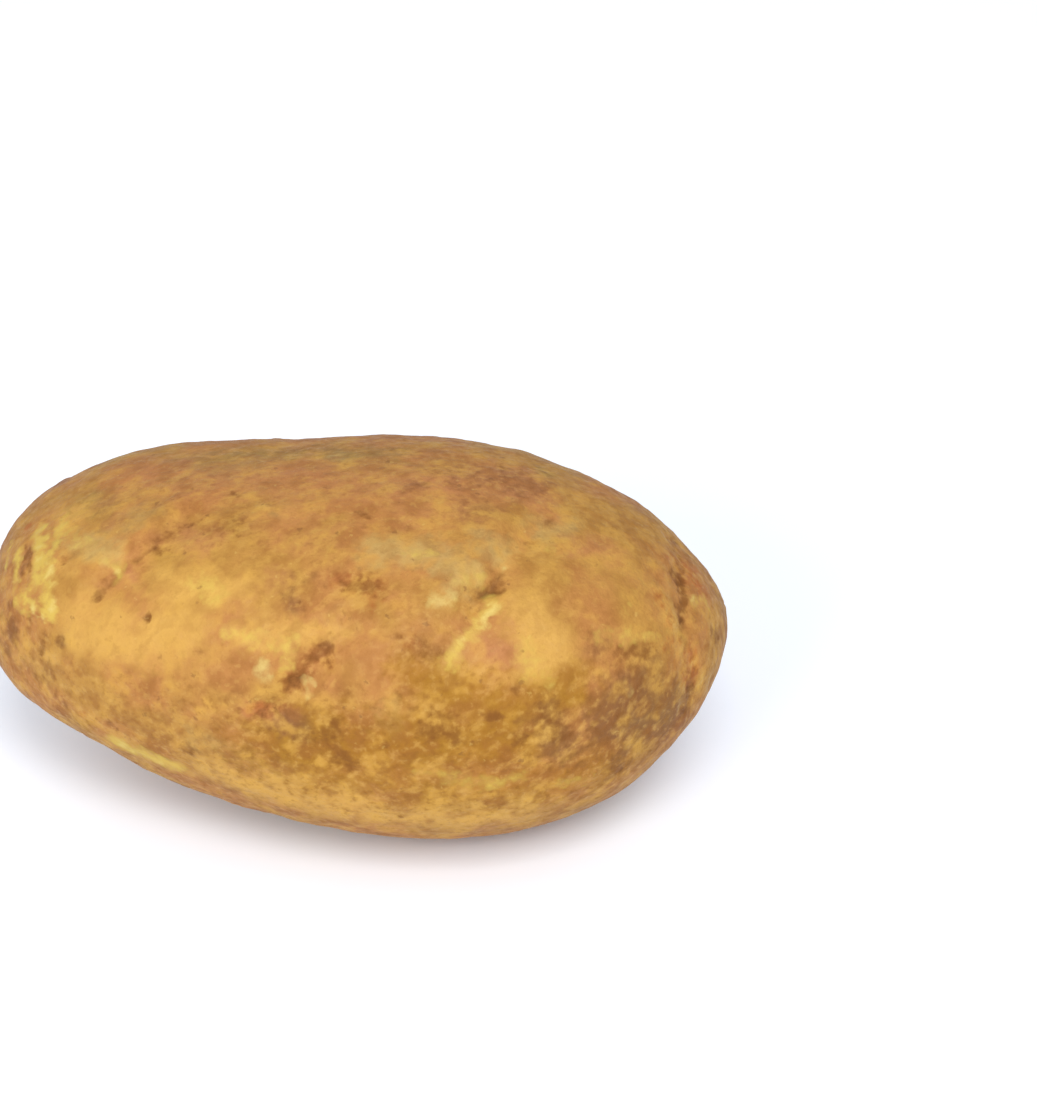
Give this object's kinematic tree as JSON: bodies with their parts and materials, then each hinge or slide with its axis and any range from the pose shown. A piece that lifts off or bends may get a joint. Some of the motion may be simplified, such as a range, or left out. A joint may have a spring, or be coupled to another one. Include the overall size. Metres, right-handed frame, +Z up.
{
  "type": "potato",
  "caption": "Large oval potato tuber lying on its side: thicker at one end, slightly curved, with slanting furrows, a stem scar and a small flat to rest on.",
  "frame": {"origin": "middle of the base: the flat the tuber rests on is at Z = 0", "axes": "+X along the tuber towards its thick end with the stem scar, +Z up, and the side that faces the viewer is -Y"},
  "size_m": [0.1246, 0.0736, 0.062],
  "materials": {
    "skin": "thin corky potato skin, semi-matte, washed, over firm flesh"
  },
  "bodies": {
    "root": {"potato": "skin"}
  },
  "joints": []
}
